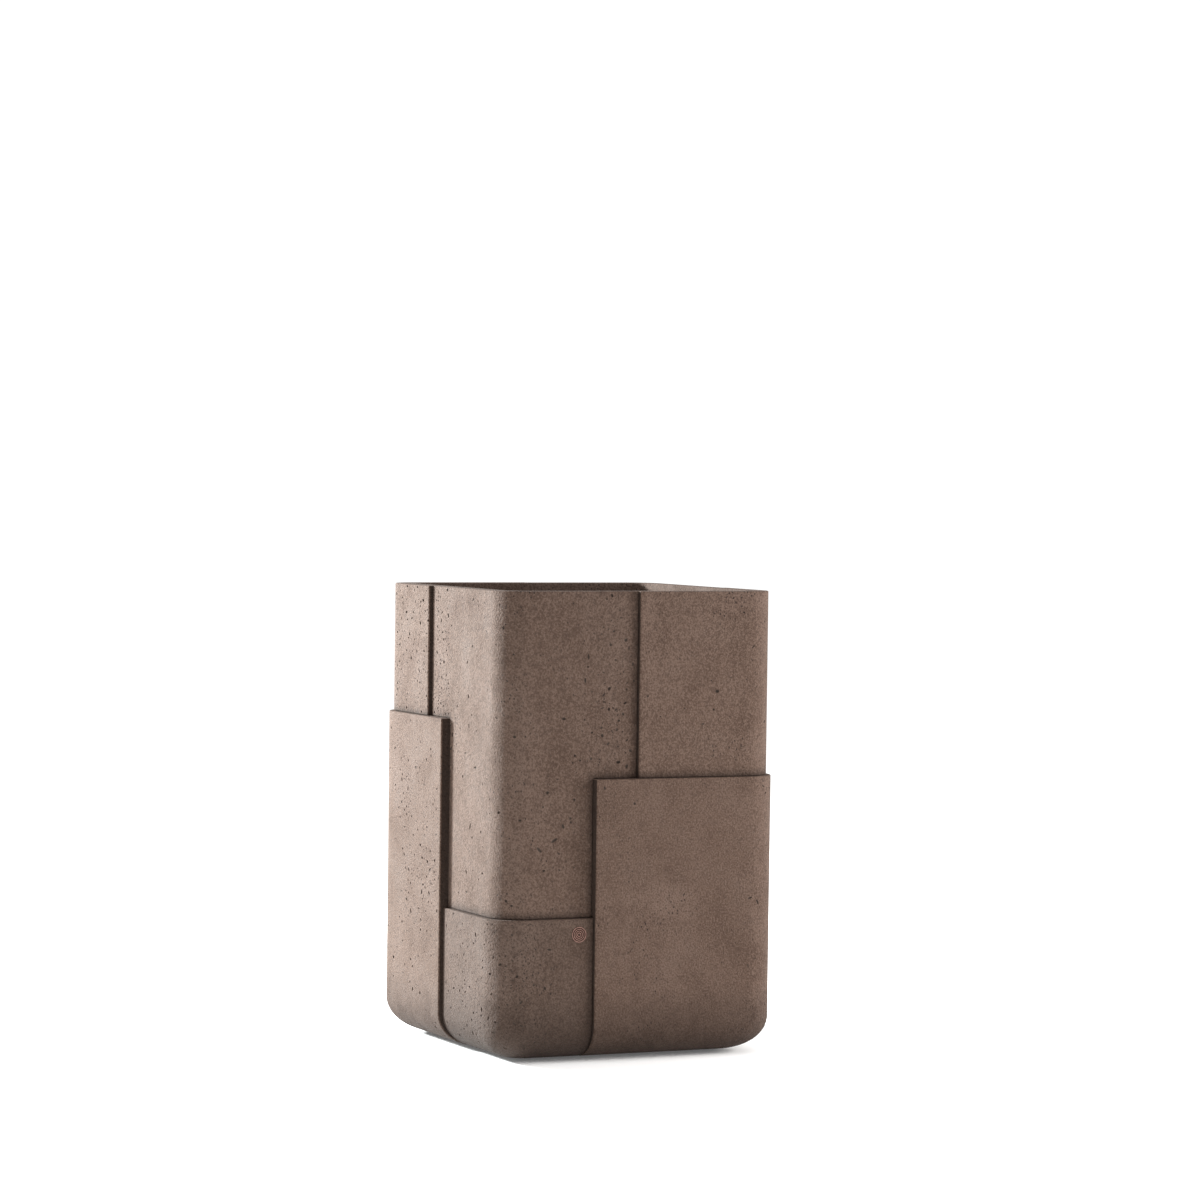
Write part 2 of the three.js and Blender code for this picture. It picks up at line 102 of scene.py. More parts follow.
def build(name, vertices, faces, materials):
    """Mesh object with its faces turned outwards."""
    mesh = bpy.data.meshes.new(name)
    mesh.from_pydata([tuple(v) for v in vertices], [], faces)
    work = bmesh.new()
    work.from_mesh(mesh)
    bmesh.ops.recalc_face_normals(work, faces=work.faces)
    work.to_mesh(mesh)
    work.free()
    for material in materials:
        mesh.materials.append(material)
    obj = bpy.data.objects.new(name, mesh)
    scene.collection.objects.link(obj)
    soften(obj)
    return obj


def attach(obj, body, node):
    """Puts obj on its body, in place of the CAD node."""
    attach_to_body(obj, body)
    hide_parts(node)


def combine(obj, other, operation):
    """Cuts other from obj, or joins it on, and removes other."""
    modifier = obj.modifiers.new("combine", "BOOLEAN")
    modifier.operation = operation
    modifier.solver = "MANIFOLD"
    modifier.object = other
    depsgraph = bpy.context.evaluated_depsgraph_get()
    mesh = bpy.data.meshes.new_from_object(obj.evaluated_get(depsgraph))
    obj.modifiers.clear()
    obj.data = mesh
    bpy.data.objects.remove(other)
    soften(obj)


def spread(start, end, step):
    """Even places from start to end, about step apart."""
    count = max(1, round(abs(end - start) / step))
    return [start + (end - start) * i / count for i in range(count + 1)]


def quarter_turn(steps):
    """Angles of a quarter turn, with both ends."""
    return [math.pi / 2 * step / steps for step in range(steps + 1)]


def rounding(radius):
    """(inset, drop) pairs of a quarter round, from the face to the side."""
    return [(radius * (1 - math.sin(a)), radius * (1 - math.cos(a))) for a in quarter_turn(4)]


def over_edge(half, radius, z, edge):
    """Rings up to a rounded outer edge and over it."""
    return [(half - inset, radius - inset, z - drop) for inset, drop in reversed(rounding(edge))]


def into_hole(half, radius, z, edge):
    """Rings over a hole's rounded edge and down into it."""
    return [(half + inset, radius + inset, z - drop) for inset, drop in rounding(edge)]


def foot_rings(half, radius, foot_radius, z, fillet, steps):
    """Rings up the quarter round at the foot of a wall, as its corner radius grows."""
    rings = []
    for angle in quarter_turn(steps):
        reach = math.sin(angle)
        corner_r = foot_radius + (radius - foot_radius) * reach
        rings.append((half - fillet * (1 - reach), corner_r, z + fillet * (1 - math.cos(angle))))
    return rings


def rounded_square(half, radius):
    """Points round a square with rounded corners, anticlockwise from above."""
    centre = half - radius
    points = []
    for quarter in range(4):
        start = quarter * math.pi / 2
        cx = centre * math.copysign(1, math.cos(start + math.pi / 4))
        cy = centre * math.copysign(1, math.sin(start + math.pi / 4))
        for step in range(ARC_STEPS + 1):
            angle = start + math.pi / 2 * step / ARC_STEPS
            points.append((cx + radius * math.cos(angle), cy + radius * math.sin(angle)))
        direction = (-math.sin(start + math.pi / 2), math.cos(start + math.pi / 2))
        last = points[-1]
        for step in range(1, SIDE_STEPS):
            along = 2 * centre * step / SIDE_STEPS
            points.append((last[0] + direction[0] * along, last[1] + direction[1] * along))
    return points


def band(low, high, count):
    """Faces between two rings of count points, whose first vertices are low and high."""
    ends = [(i, (i + 1) % count) for i in range(count)]
    return [(low + i, low + nxt, high + nxt, high + i) for i, nxt in ends]


def tube(rows, count, start=0):
    """Faces of a capped tube through rows of count points, from vertex start on."""
    faces = []
    for row in range(rows - 1):
        faces += band(start + row * count, start + (row + 1) * count, count)
    faces.append(tuple(start + i for i in reversed(range(count))))
    faces.append(tuple(start + (rows - 1) * count + i for i in range(count)))
    return faces


def ring_solid(name, rings, material):
    """Solid through rounded-square rings (half, radius, z), with its ends capped.

    A narrow flat rim inside each end keeps the shading of its cap even.
    """
    rims = [(half - FLAT_RIM, radius - FLAT_RIM, z) for half, radius, z in (rings[0], rings[-1])]
    rings = [rims[0], *rings, rims[1]]
    outlines = [rounded_square(half, radius) for half, radius, _ in rings]
    vertices = [(x, y, ring[2]) for ring, line in zip(rings, outlines) for x, y in line]
    return build(name, vertices, tube(len(rings), len(outlines[0])), [material])


def turned(name, profile, materials, origin=(0, 0, 0), axis=(0, 0, 1), segments=48):
    """Lathed solid: profile is (radius, height along axis), from axis to axis or a closed loop."""
    turn = Vector((0, 0, 1)).rotation_difference(Vector(axis)).to_matrix()
    origin = Vector(origin)
    closed = profile[0][0] > 0
    vertices = []
    starts = []
    for radius, height in profile:
        starts.append(len(vertices))
        for i in range(segments if radius > 0 else 1):
            angle = 2 * math.pi * i / segments
            local = Vector((radius * math.cos(angle), radius * math.sin(angle), height))
            vertices.append(origin + turn @ local)

    def vertex(row, i):
        return starts[row] + (i % segments if profile[row][0] > 0 else 0)

    faces = []
    for low in range(len(profile) if closed else len(profile) - 1):
        high = (low + 1) % len(profile)
        for i in range(segments):
            corners = (vertex(low, i), vertex(low, i + 1), vertex(high, i + 1), vertex(high, i))
            face = tuple(dict.fromkeys(corners))  # a triangle where it meets the axis
            if len(face) > 2:
                faces.append(face)
    return build(name, vertices, faces, materials)


def cut_seat(obj, origin, axis, radius, depth, proud, segments=48):
    """Cuts the round seat of a piece of this radius and depth. The cutter stands proud of it."""
    seat_r = radius + BED
    floor = depth + BED
    profile = [(0, -proud), (seat_r, -proud), (seat_r, floor), (0, floor)]
    cutter = turned("seat", profile, [obj.data.materials[0]], origin, axis, segments)
    combine(obj, cutter, "DIFFERENCE")


def posts(places, z_low, z_high, radius, top_radius, material, segments):
    """Upright cylinders or cones as one mesh."""
    vertices = []
    faces = []
    for x, y in places:
        start = len(vertices)
        for z, r in ((z_low, radius), (z_high, top_radius)):
            for i in range(segments):
                angle = 2 * math.pi * i / segments
                vertices.append((x + r * math.cos(angle), y + r * math.sin(angle), z))
        faces += tube(2, segments, start)
    return build("posts", vertices, faces, [material])


def drill(obj, places, z_low, z_high, radius, segments):
    """Cuts an upright round hole at each place."""
    cutter = posts(places, z_low, z_high, radius, radius, obj.data.materials[0], segments)
    combine(obj, cutter, "DIFFERENCE")


def block(name, centre, half, material, turn=0.0):
    spin = Matrix.Rotation(turn, 3, "Z")
    vertices = []
    for z in (-1, 1):
        for x, y in ((-1, -1), (1, -1), (1, 1), (-1, 1)):
            offset = Vector((x * half[0], y * half[1], z * half[2]))
            vertices.append(spin @ (Vector(centre) + offset))
    faces = [(3, 2, 1, 0), (4, 5, 6, 7), (0, 1, 5, 4), (1, 2, 6, 5), (2, 3, 7, 6), (3, 0, 4, 7)]
    return build(name, vertices, faces, [material])


# ---------- materials


def node_material(name):
    material = bpy.data.materials.new(name)
    material.use_nodes = True
    tree = material.node_tree
    shader = tree.nodes["Principled BSDF"]
    return material, tree, shader


def fill(tree, node, values):
    """Sets the node's sockets to their values, or links those whose value is an output."""
    for socket, value in values.items():
        if isinstance(value, bpy.types.NodeSocket):
            tree.links.new(value, node.inputs[socket])
        else:
            node.inputs[socket].default_value = value
    return node


def add_noise(tree, vector, scale, detail, roughness, distortion=0.0):
    node = tree.nodes.new("ShaderNodeTexNoise")
    fill(tree, node, {"Vector": vector, "Scale": scale, "Detail": detail})
    return fill(tree, node, {"Roughness": roughness, "Distortion": distortion}).outputs["Fac"]


def add_cells(tree, vector, scale):
    node = tree.nodes.new("ShaderNodeTexVoronoi")
    return fill(tree, node, {"Vector": vector, "Scale": scale}).outputs["Distance"]


def add_range(tree, value, source, target):
    """Maps value from the source range to the target range."""
    node = tree.nodes.new("ShaderNodeMapRange")
    fill(tree, node, {"Value": value, "From Min": source[0], "From Max": source[1]})
    return fill(tree, node, {"To Min": target[0], "To Max": target[1]}).outputs["Result"]


def add_math(tree, operation, first, second):
    node = tree.nodes.new("ShaderNodeMath")
    node.operation = operation
    return fill(tree, node, {0: first, 1: second}).outputs["Value"]


def add_tint(tree, factor, colour_in, colour):
    """Mixes colour over colour_in by factor."""
    node = tree.nodes.new("ShaderNodeMix")
    node.data_type = "RGBA"
    under = (*colour_in, 1) if isinstance(colour_in, tuple) else colour_in
    fill(tree, node, {"Factor": factor, "A": under, "B": (*colour, 1)})
    return node.outputs["Result"]


def add_wash(tree, texture, source, share, colour_in, colour):
    """Mixes colour over colour_in, by up to share as the texture crosses the source range."""
    return add_tint(tree, add_range(tree, texture, source, (0.0, share)), colour_in, colour)


def add_bump(tree, height, strength, distance, normal=None):
    node = tree.nodes.new("ShaderNodeBump")
    fill(tree, node, {"Height": height, "Strength": strength, "Distance": distance})
    if normal:
        tree.links.new(normal, node.inputs["Normal"])
    return node.outputs["Normal"]


def object_coordinates(tree):
    return tree.nodes.new("ShaderNodeTexCoord").outputs["Object"]


def stretched(tree, vector, scale):
    node = tree.nodes.new("ShaderNodeMapping")
    return fill(tree, node, {"Vector": vector, "Scale": scale}).outputs["Vector"]


CONCRETE = (0.086, 0.0515, 0.0365)
CONCRETE_PALE = (0.132, 0.086, 0.066)
CONCRETE_DARK = (0.050, 0.028, 0.019)
# Colour of the painted shade in the seams and near the ground, and of the dirt there.
CONCRETE_SHADE_AND_DIRT = (0.014, 0.007, 0.004)
# Near black of the fine pores: painted shade inside holes too small to model.
PORE_SHADE = (0.012, 0.007, 0.005)


def concrete_material(name, tone):
    material, tree, shader = node_material(name)
    place = object_coordinates(tree)
    colours = (CONCRETE, CONCRETE_PALE, CONCRETE_DARK, CONCRETE_SHADE_AND_DIRT)
    base, pale, dark, shade_and_dirt = [tuple(channel * tone for channel in colour) for colour in colours]

    # Clouds, darker depths and pale runs down the faces.
    clouds = add_noise(tree, place, scale=5.5, detail=5.0, roughness=0.6, distortion=0.4)
    colour = add_wash(tree, clouds, (0.46, 0.70), 0.6, base, pale)
    depth = add_noise(tree, place, scale=13.0, detail=6.0, roughness=0.62, distortion=0.3)
    colour = add_wash(tree, depth, (0.50, 0.72), 0.6, colour, dark)
    streaks = stretched(tree, place, (16.0, 16.0, 1.6))
    runs = add_noise(tree, streaks, scale=1.0, detail=5.0, roughness=0.6, distortion=0.2)
    colour = add_wash(tree, runs, (0.50, 0.72), 0.35, colour, pale)

    # Sand grains, pale and dark.
    grain = add_noise(tree, place, scale=300.0, detail=2.0, roughness=0.6)
    colour = add_wash(tree, grain, (0.50, 0.62), 0.60, colour, pale)
    colour = add_wash(tree, grain, (0.49, 0.36), 0.70, colour, dark)
    mottle = add_noise(tree, place, scale=90.0, detail=5.0, roughness=0.7, distortion=0.3)
    colour = add_wash(tree, mottle, (0.48, 0.34), 0.55, colour, dark)

    # Fine pores, open in patches, tinted near black: painted shade inside holes too small to model.
    cover = add_noise(tree, place, scale=11.0, detail=4.0, roughness=0.6)
    patches = add_range(tree, cover, (0.50, 0.64), (0.05, 1.0))
    cells = add_cells(tree, stretched(tree, place, (1.0, 1.0, 0.6)), 165.0)
    pores = add_range(tree, cells, (0.14, 0.25), (1.0, 0.0))
    pores = add_math(tree, "MULTIPLY", pores, patches)
    colour = add_tint(tree, pores, colour, PORE_SHADE)

    # Darker towards the ground: painted shade near the floor, and splashed dirt.
    height = tree.nodes.new("ShaderNodeSeparateXYZ")
    tree.links.new(place, height.inputs["Vector"])
    waves = add_math(tree, "MULTIPLY", depth, -0.06)
    waved = add_math(tree, "ADD", height.outputs["Z"], waves)
    ground_shade_and_dirt = add_range(tree, waved, (-0.03, 0.11), (0.75, 0.0))
    colour = add_tint(tree, ground_shade_and_dirt, colour, shade_and_dirt)

    # Darker in the seams and on the step walls, as painted by the mesh: painted shade, with some dirt.
    seam_shade_and_dirt = tree.nodes.new("ShaderNodeAttribute")
    seam_shade_and_dirt.attribute_name = "seam_shade_and_dirt"
    colour = add_tint(tree, seam_shade_and_dirt.outputs["Fac"], colour, CONCRETE_SHADE_AND_DIRT)
    rough = add_range(tree, depth, (0.3, 0.7), (0.78, 0.92))
    fill(tree, shader, {"Base Color": colour, "Roughness": rough})
    fill(tree, shader, {"Diffuse Roughness": 0.35, "Specular IOR Level": 0.25})

    swell = add_noise(tree, place, scale=28.0, detail=3.0, roughness=0.5)
    normal = add_bump(tree, swell, 0.6, 2.0 * MM)
    normal = add_bump(tree, mottle, 1.0, 1.2 * MM, normal)
    normal = add_bump(tree, grain, 1.0, 2.8 * MM, normal)
    normal = add_bump(tree, add_math(tree, "SUBTRACT", 1.0, pores), 0.7, 0.8 * MM, normal)
    tree.links.new(normal, shader.inputs["Normal"])
    return material


def pit_material(name, pale, dark):
    material, tree, shader = node_material(name)
    place = object_coordinates(tree)
    grit = add_noise(tree, place, scale=700.0, detail=3.0, roughness=0.6)
    fill(tree, shader, {"Base Color": add_tint(tree, grit, pale, dark), "Roughness": 0.95})
    fill(tree, shader, {"Normal": add_bump(tree, grit, 0.6, 0.4 * MM)})
    return material


def plastic_material(name, colour, dusty, roughness, grain=900.0):
    """Plastic or rubber with a moulded grain, a little dust and scuffs."""
    material, tree, shader = node_material(name)
    place = object_coordinates(tree)
    dust = add_noise(tree, place, scale=14.0, detail=5.0, roughness=0.6, distortion=0.3)
    mixed = add_wash(tree, dust, (0.48, 0.80), 0.5, colour, dusty)
    rough = add_range(tree, dust, (0.3, 0.7), (roughness - 0.08, roughness + 0.12))
    fill(tree, shader, {"Base Color": mixed, "Roughness": rough, "Specular IOR Level": 0.3})
    texture = add_noise(tree, place, scale=grain, detail=2.0, roughness=0.5)
    lines = stretched(tree, place, (20.0, 20.0, 160.0))
    scuffs = add_noise(tree, lines, scale=1.0, detail=4.0, roughness=0.7)
    normal = add_bump(tree, texture, 0.35, 0.15 * MM)
    normal = add_bump(tree, scuffs, 0.12, 0.2 * MM, normal)
    tree.links.new(normal, shader.inputs["Normal"])
    return material


def metal_material(name, colour, tarnish, roughness, grain):
    """Metal with tarnished patches. grain is the scale of its fine lines on each axis."""
    material, tree, shader = node_material(name)
    place = object_coordinates(tree)
    patina = add_noise(tree, place, scale=160.0, detail=5.0, roughness=0.65)
    mixed = add_wash(tree, patina, (0.45, 0.75), 0.7, colour, tarnish)
    lines = add_noise(tree, stretched(tree, place, grain), scale=1.0, detail=3.0, roughness=0.6)
    rough = add_range(tree, lines, (0.3, 0.7), (roughness - 0.1, roughness + 0.15))
    fill(tree, shader, {"Base Color": mixed, "Metallic": 1.0, "Roughness": rough})
    fill(tree, shader, {"Normal": add_bump(tree, lines, 0.15, 0.1 * MM)})
    return material


# Tone of the upper and the lower slab at each corner.
SLAB_TONES = {
    "front_left": (0.95, 0.76),
    "front_right": (1.05, 1.03),
    "back_right": (0.98, 0.90),
    "back_left": (1.0, 1.0),
}
slab_concrete = {
    f"slab_{corner}_{tier}": concrete_material(f"slab_{corner}_{tier}", tone)
    for corner, tones in SLAB_TONES.items()
    for tier, tone in zip(TIERS, tones)
}
core_concrete = concrete_material("core_concrete", 0.85)
pit_concrete = pit_material("pit_concrete", (0.052, 0.034, 0.025), (0.024, 0.015, 0.010))
liner_plastic = plastic_material(
    "liner_plastic", colour=(0.016, 0.0175, 0.019), dusty=(0.040, 0.039, 0.037), roughness=0.55
)
drain_plastic = plastic_material(
    "drain_plastic", colour=(0.045, 0.048, 0.050), dusty=(0.085, 0.080, 0.074), roughness=0.55
)
cap_plastic = plastic_material(
    "cap_plastic", colour=(0.25, 0.26, 0.265), dusty=(0.33, 0.31, 0.29), roughness=0.5
)
pad_rubber = plastic_material(
    "pad_rubber", colour=(0.012, 0.012, 0.012), dusty=(0.05, 0.048, 0.045), roughness=0.82, grain=500.0
)
handle_steel = metal_material(
    "handle_steel", (0.62, 0.61, 0.60), (0.42, 0.40, 0.38), roughness=0.30, grain=(900.0, 40.0, 900.0)
)
socket_steel = metal_material(
    "socket_steel", (0.46, 0.46, 0.45), (0.30, 0.28, 0.26), roughness=0.42, grain=(500.0, 500.0, 500.0)
)
badge_copper = metal_material(
    "badge_copper", (0.26, 0.15, 0.125), (0.10, 0.055, 0.045), roughness=0.5, grain=(700.0, 700.0, 700.0)
)
badge_patina = metal_material(
    "badge_patina", (0.045, 0.028, 0.022), (0.02, 0.012, 0.01), roughness=0.6, grain=(700.0, 700.0, 700.0)
)

# ---------- slabs


class SlabFace:
    """The outer face of one slab, laid out flat.

    s runs round the corner: along the front or back face, round the arc, along the side face.
    v runs down from the rim, round the bottom edge and inwards under the planter.
    """

    def __init__(self, corner, tier):
        self.side = CORNERS[corner]
        self.standoff = LEVELS[corner][tier] * LAP
        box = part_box(f"slab_{corner}_{TIERS[tier]}")
        self.top = RIM_Z - box[1].z
        self.ends = self.inner_corner(*box)
        self.foot_ends = self.inner_corner(*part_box(f"slab_{corner}_lower"))
        self.arc = math.pi / 2 * (CORNER_R + self.standoff)
        self.foot_start = RIM_Z - WALL_FOOT_Z
        self.foot_end = self.foot_start + math.pi / 2 * BOTTOM_R
        self.flat_end = self.foot_end + FLAT_HALF - PLINTH_HALF - BED

    def inner_corner(self, low, high):
        """Where the slab ends on its two faces, measured towards its own corner."""
        x = high.x if self.side[0] < 0 else low.x
        y = high.y if self.side[1] < 0 else low.y
        return self.side[0] * x, self.side[1] * y

    def span(self, ends):
        """s at the end on the front or back face, and at the end on the side face."""
        return ends[0] - ARC_CENTRE, self.arc + ARC_CENTRE - ends[1]

    def point(self, s, v, standoff, lift):
        """World position of (s, v) on the surface that stands standoff outside level 0."""
        turn = np.clip((v - self.foot_start) / BOTTOM_R, 0, math.pi / 2)
        reach = np.cos(turn)
        centre = FLAT_CENTRE + (ARC_CENTRE - FLAT_CENTRE) * reach
        radius = FLAT_CORNER_R + (CORNER_R + standoff - FLAT_CORNER_R) * reach
        drop = np.clip(v, None, self.foot_start)
        z = RIM_Z - drop - (BOTTOM_R - lift) * np.sin(turn)
        inwards = np.clip(v - self.foot_end, 0, None)
        centre = centre - inwards

        def slid(place, end):
            return end + (place - end) * (centre - end) / (ARC_CENTRE - end)

        angle = math.pi / 2 * (1 - np.clip(s / self.arc, 0, 1))
        along_first = slid(ARC_CENTRE + s, self.foot_ends[0])
        along_second = slid(ARC_CENTRE + self.arc - s, self.foot_ends[1])
        x = np.where(s < 0, along_first, centre) + radius * np.cos(angle)
        y = np.where(s > self.arc, along_second, centre) + radius * np.sin(angle)
        return np.stack([x * self.side[0], y * self.side[1], z], axis=-1)


GRID_STEP = 14 * MM
CORNER_STEP = 4.5 * MM
FOOT_STEP = 5 * MM
LINE_GAP = 0.1 * MM
DIGITS = 7  # places in metres are compared to a tenth of a micrometre
TINY = 1e-12


def fine_lines(breaks, arcs=()):
    """Grid lines through every break, closer where an arris is rounded or the surface bends.

    arcs lists the stretches that bend, as (start, end, step).
    """

    def near_break(line):
        return any(abs(line - place) <= ARRIS_R for place in breaks)

    lines = set()
    for start, end in zip(breaks, breaks[1:]):
        for inset, _ in rounding(ARRIS_R):
            if end - start > 2 * ARRIS_R:
                lines.add(round(start + inset, DIGITS))
                lines.add(round(end - inset, DIGITS))
        lines.update(round(x, DIGITS) for x in spread(start + ARRIS_R, end - ARRIS_R, GRID_STEP))
    for start, end, arc_step in arcs:
        lines = {x for x in lines if not start < x < end or near_break(x)}
        lines.update(round(x, DIGITS) for x in spread(start, end, arc_step))
    kept = []
    for line in sorted(lines):
        if not kept or line - kept[-1] > LINE_GAP:
            kept.append(line)
    return np.array(kept)


def outline_distance(s, v, segments):
    """Distance from (s, v) to the nearest of the segments."""
    distances = []
    for (s0, v0), (s1, v1) in segments:
        squared_length = max((s1 - s0) ** 2 + (v1 - v0) ** 2, TINY)
        along = np.clip(((s - s0) * (s1 - s0) + (v - v0) * (v1 - v0)) / squared_length, 0, 1)
        distances.append(np.hypot(s - s0 - along * (s1 - s0), v - v0 - along * (v1 - v0)))
    return np.min(distances, axis=0)


def upper_end(corner):
    """Lowest v of an upper slab where it stands on the lower slab of a corner."""
    return RIM_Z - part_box(f"slab_{corner}_lower")[1].z - BED


def slab_layout(corner, tier, face):
    """Columns of the slab, each (s start, s end, v end)."""
    first, second = face.span(face.ends)
    if tier:
        return [(first, second, face.flat_end)]
    foot_first, foot_second = face.span(face.foot_ends)
    columns = [(max(first, foot_first), min(second, foot_second), upper_end(corner))]
    x, y = CORNERS[corner]
    if first < foot_first:
        columns.insert(0, (first, foot_first, upper_end(CORNER_AT[-x, y])))
    if second > foot_second:
        columns.append((foot_second, second, upper_end(CORNER_AT[x, -y])))
    return columns


def outline_segments(columns, top):
    """The slab's outline, as its top edge, its upright edges and its bottom edges."""
    left, right = columns[0][0], columns[-1][1]
    uprights = [((left, top), (left, columns[0][2])), ((right, top), (right, columns[-1][2]))]
    for here, beside in zip(columns, columns[1:]):
        uprights.append(((here[1], here[2]), (here[1], beside[2])))
    bottoms = [((start, bottom), (end, bottom)) for start, end, bottom in columns]
    return [((left, top), (right, top))], uprights, bottoms


# Painted shade, with some dirt, in the seams and on the step walls: how far it reaches from a seam, and
# how strong it is at a seam, on the walls and on the rim.
SHADE_AND_DIRT_REACH = 7 * MM
SEAM_SHADE_AND_DIRT = 0.75
WALL_SHADE_AND_DIRT = 0.85
RIM_SHADE_AND_DIRT = 0.05
WALL_ROW = 1.2 * MM


def slab_mesh(corner, tier):
    """Face layout, columns, vertices, faces and each vertex's painted seam shade, with some dirt, of one
    slab.
    """
    face = SlabFace(corner, tier)
    columns = slab_layout(corner, tier, face)
    top_edge, uprights, bottoms = outline_segments(columns, face.top)
    seams = bottoms if tier == 0 else []
    if LEVELS[corner][tier] == tier:
        seams = seams + uprights  # the slabs beside it stand prouder

    s_breaks = sorted({columns[0][0], *(c[1] for c in columns)})
    v_breaks = sorted({face.top, *(c[2] for c in columns)})
    s_lines = fine_lines(s_breaks, [(0.0, face.arc, CORNER_STEP)])
    v_lines = fine_lines(v_breaks, [(face.foot_start, face.foot_end, FOOT_STEP)] if tier else [])

    s, v = np.meshgrid(s_lines, v_lines, indexing="ij")
    edge = outline_distance(s, v, top_edge + uprights + bottoms)
    # Painted shade, with some dirt, fading out from the seams.
    shade_and_dirt = np.zeros_like(s)
    if seams:
        shade_and_dirt = SEAM_SHADE_AND_DIRT * np.exp(-outline_distance(s, v, seams) / SHADE_AND_DIRT_REACH)
    inset = np.clip(ARRIS_R - edge, 0, ARRIS_R)
    drop = ARRIS_R - np.sqrt(ARRIS_R**2 - inset**2)

    mid_s = (s_lines[:-1] + s_lines[1:]) / 2
    mid_v = (v_lines[:-1] + v_lines[1:]) / 2
    inside = np.zeros((len(mid_s), len(mid_v)), bool)
    for start, end, bottom in columns:
        in_column = (mid_s > start) & (mid_s < end)
        inside |= in_column[:, None] & (mid_v < bottom)[None, :]

    # Layers from the face down: the face itself, a row just behind its arris, and the back.
    depth = VENEER - BED
    on_top = v - face.top < ARRIS_R / 2
    # The rim keeps almost none of the painted shade; the walls behind the arris get the most.
    wall_shade_and_dirt = np.where(on_top, RIM_SHADE_AND_DIRT, WALL_SHADE_AND_DIRT)
    shade_and_dirt = np.where(on_top, RIM_SHADE_AND_DIRT, shade_and_dirt)
    back = np.full_like(drop, face.standoff + depth)
    layers = [(drop, shade_and_dirt), (drop + WALL_ROW, wall_shade_and_dirt), (back, wall_shade_and_dirt)]
    vertices = []
    seam_shade_and_dirt = []
    index = []
    for layer_drop, layer_shade_and_dirt in layers:
        lift = np.minimum(layer_drop, depth)
        points = face.point(s, v, face.standoff - layer_drop, lift)
        index.append(len(vertices) + np.arange(s.size).reshape(s.shape))
        vertices.extend(points.reshape(-1, 3).tolist())
        seam_shade_and_dirt.extend(layer_shade_and_dirt.reshape(-1).tolist())

    outwards = face.side[0] * face.side[1] > 0
    faces = []

    def add_face(corners, flip):
        faces.append(tuple(reversed(corners)) if flip else tuple(corners))

    cells_i, cells_j = np.nonzero(inside)
    for i, j in zip(cells_i.tolist(), cells_j.tolist()):
        ring = [(i, j), (i + 1, j), (i + 1, j + 1), (i, j + 1)]
        add_face([int(index[0][p]) for p in ring], outwards)
        add_face([int(index[2][p]) for p in ring], not outwards)
        neighbours = [(i, j - 1), (i + 1, j), (i, j + 1), (i - 1, j)]
        for side, (ni, nj) in enumerate(neighbours):
            on_grid = 0 <= ni < inside.shape[0] and 0 <= nj < inside.shape[1]
            if on_grid and inside[ni, nj]:
                continue
            a, b = ring[side], ring[(side + 1) % 4]
            for upper, lower in ((0, 1), (1, 2)):
                wall = [index[upper][b], index[upper][a], index[lower][a], index[lower][b]]
                add_face([int(k) for k in wall], outwards)
    used = sorted({k for f in faces for k in f})
    renumber = {old: new for new, old in enumerate(used)}
    vertices = [vertices[k] for k in used]
    faces = [tuple(renumber[k] for k in f) for f in faces]
    seam_shade_and_dirt = [seam_shade_and_dirt[k] for k in used]
    return face, columns, vertices, faces, seam_shade_and_dirt


def unit_ball():
    ball = bmesh.new()
    bmesh.ops.create_icosphere(ball, subdivisions=2, radius=1.0)
    ball.verts.ensure_lookup_table()
    vertices = np.array([v.co[:] for v in ball.verts])
    faces = [tuple(v.index for v in f.verts) for f in ball.faces]
    ball.free()
    return vertices, faces


BALL_VERTICES, BALL_FACES = unit_ball()
LUMP_HEIGHT = 0.13
LUMP_WAVES = 2.2
DEPTH_SHARE = (0.55, 0.95)  # of a bug hole's size
SINK_SHARE = (0.05, 0.45)  # of its depth


def pebble(centre, axes, radii, rng):
    """Vertices of a lumpy ellipsoid, in the order of the ball's."""
    waves = np.array([[rng.uniform(-LUMP_WAVES, LUMP_WAVES) for _ in range(3)] for _ in range(3)])
    phases = np.array([rng.uniform(0, 2 * math.pi) for _ in range(3)])
    lumps = 1 + LUMP_HEIGHT * np.sin(BALL_VERTICES @ waves.T + phases).sum(axis=1)
    local = BALL_VERTICES * lumps[:, None] * np.array(radii)
    return np.array(centre) + local @ np.array(axes)


def sunk_pebble(face, s, v, size, long, rng):
    """Pebble sunk in the face at (s, v), with radius long one way and size the other."""

    def on_face(s, v):
        return face.point(np.array(s), np.array(v), face.standoff, 0.0)

    step = 0.5 * MM
    here = on_face(s, v)
    right = on_face(s + step, v) - here
    down = on_face(s, v + step) - here
    right /= np.linalg.norm(right)
    down /= np.linalg.norm(down)
    out = np.cross(right, down)
    out *= np.sign(np.dot(out, here * (1, 1, 0)) or 1)
    spin = rng.uniform(0, math.pi)
    first = right * math.cos(spin) + down * math.sin(spin)
    second = np.cross(out, first)
    deep = size * rng.uniform(*DEPTH_SHARE)
    centre = here - out * deep * rng.uniform(*SINK_SHARE)
    return pebble(centre, (first, second, out), (long, size, deep), rng)


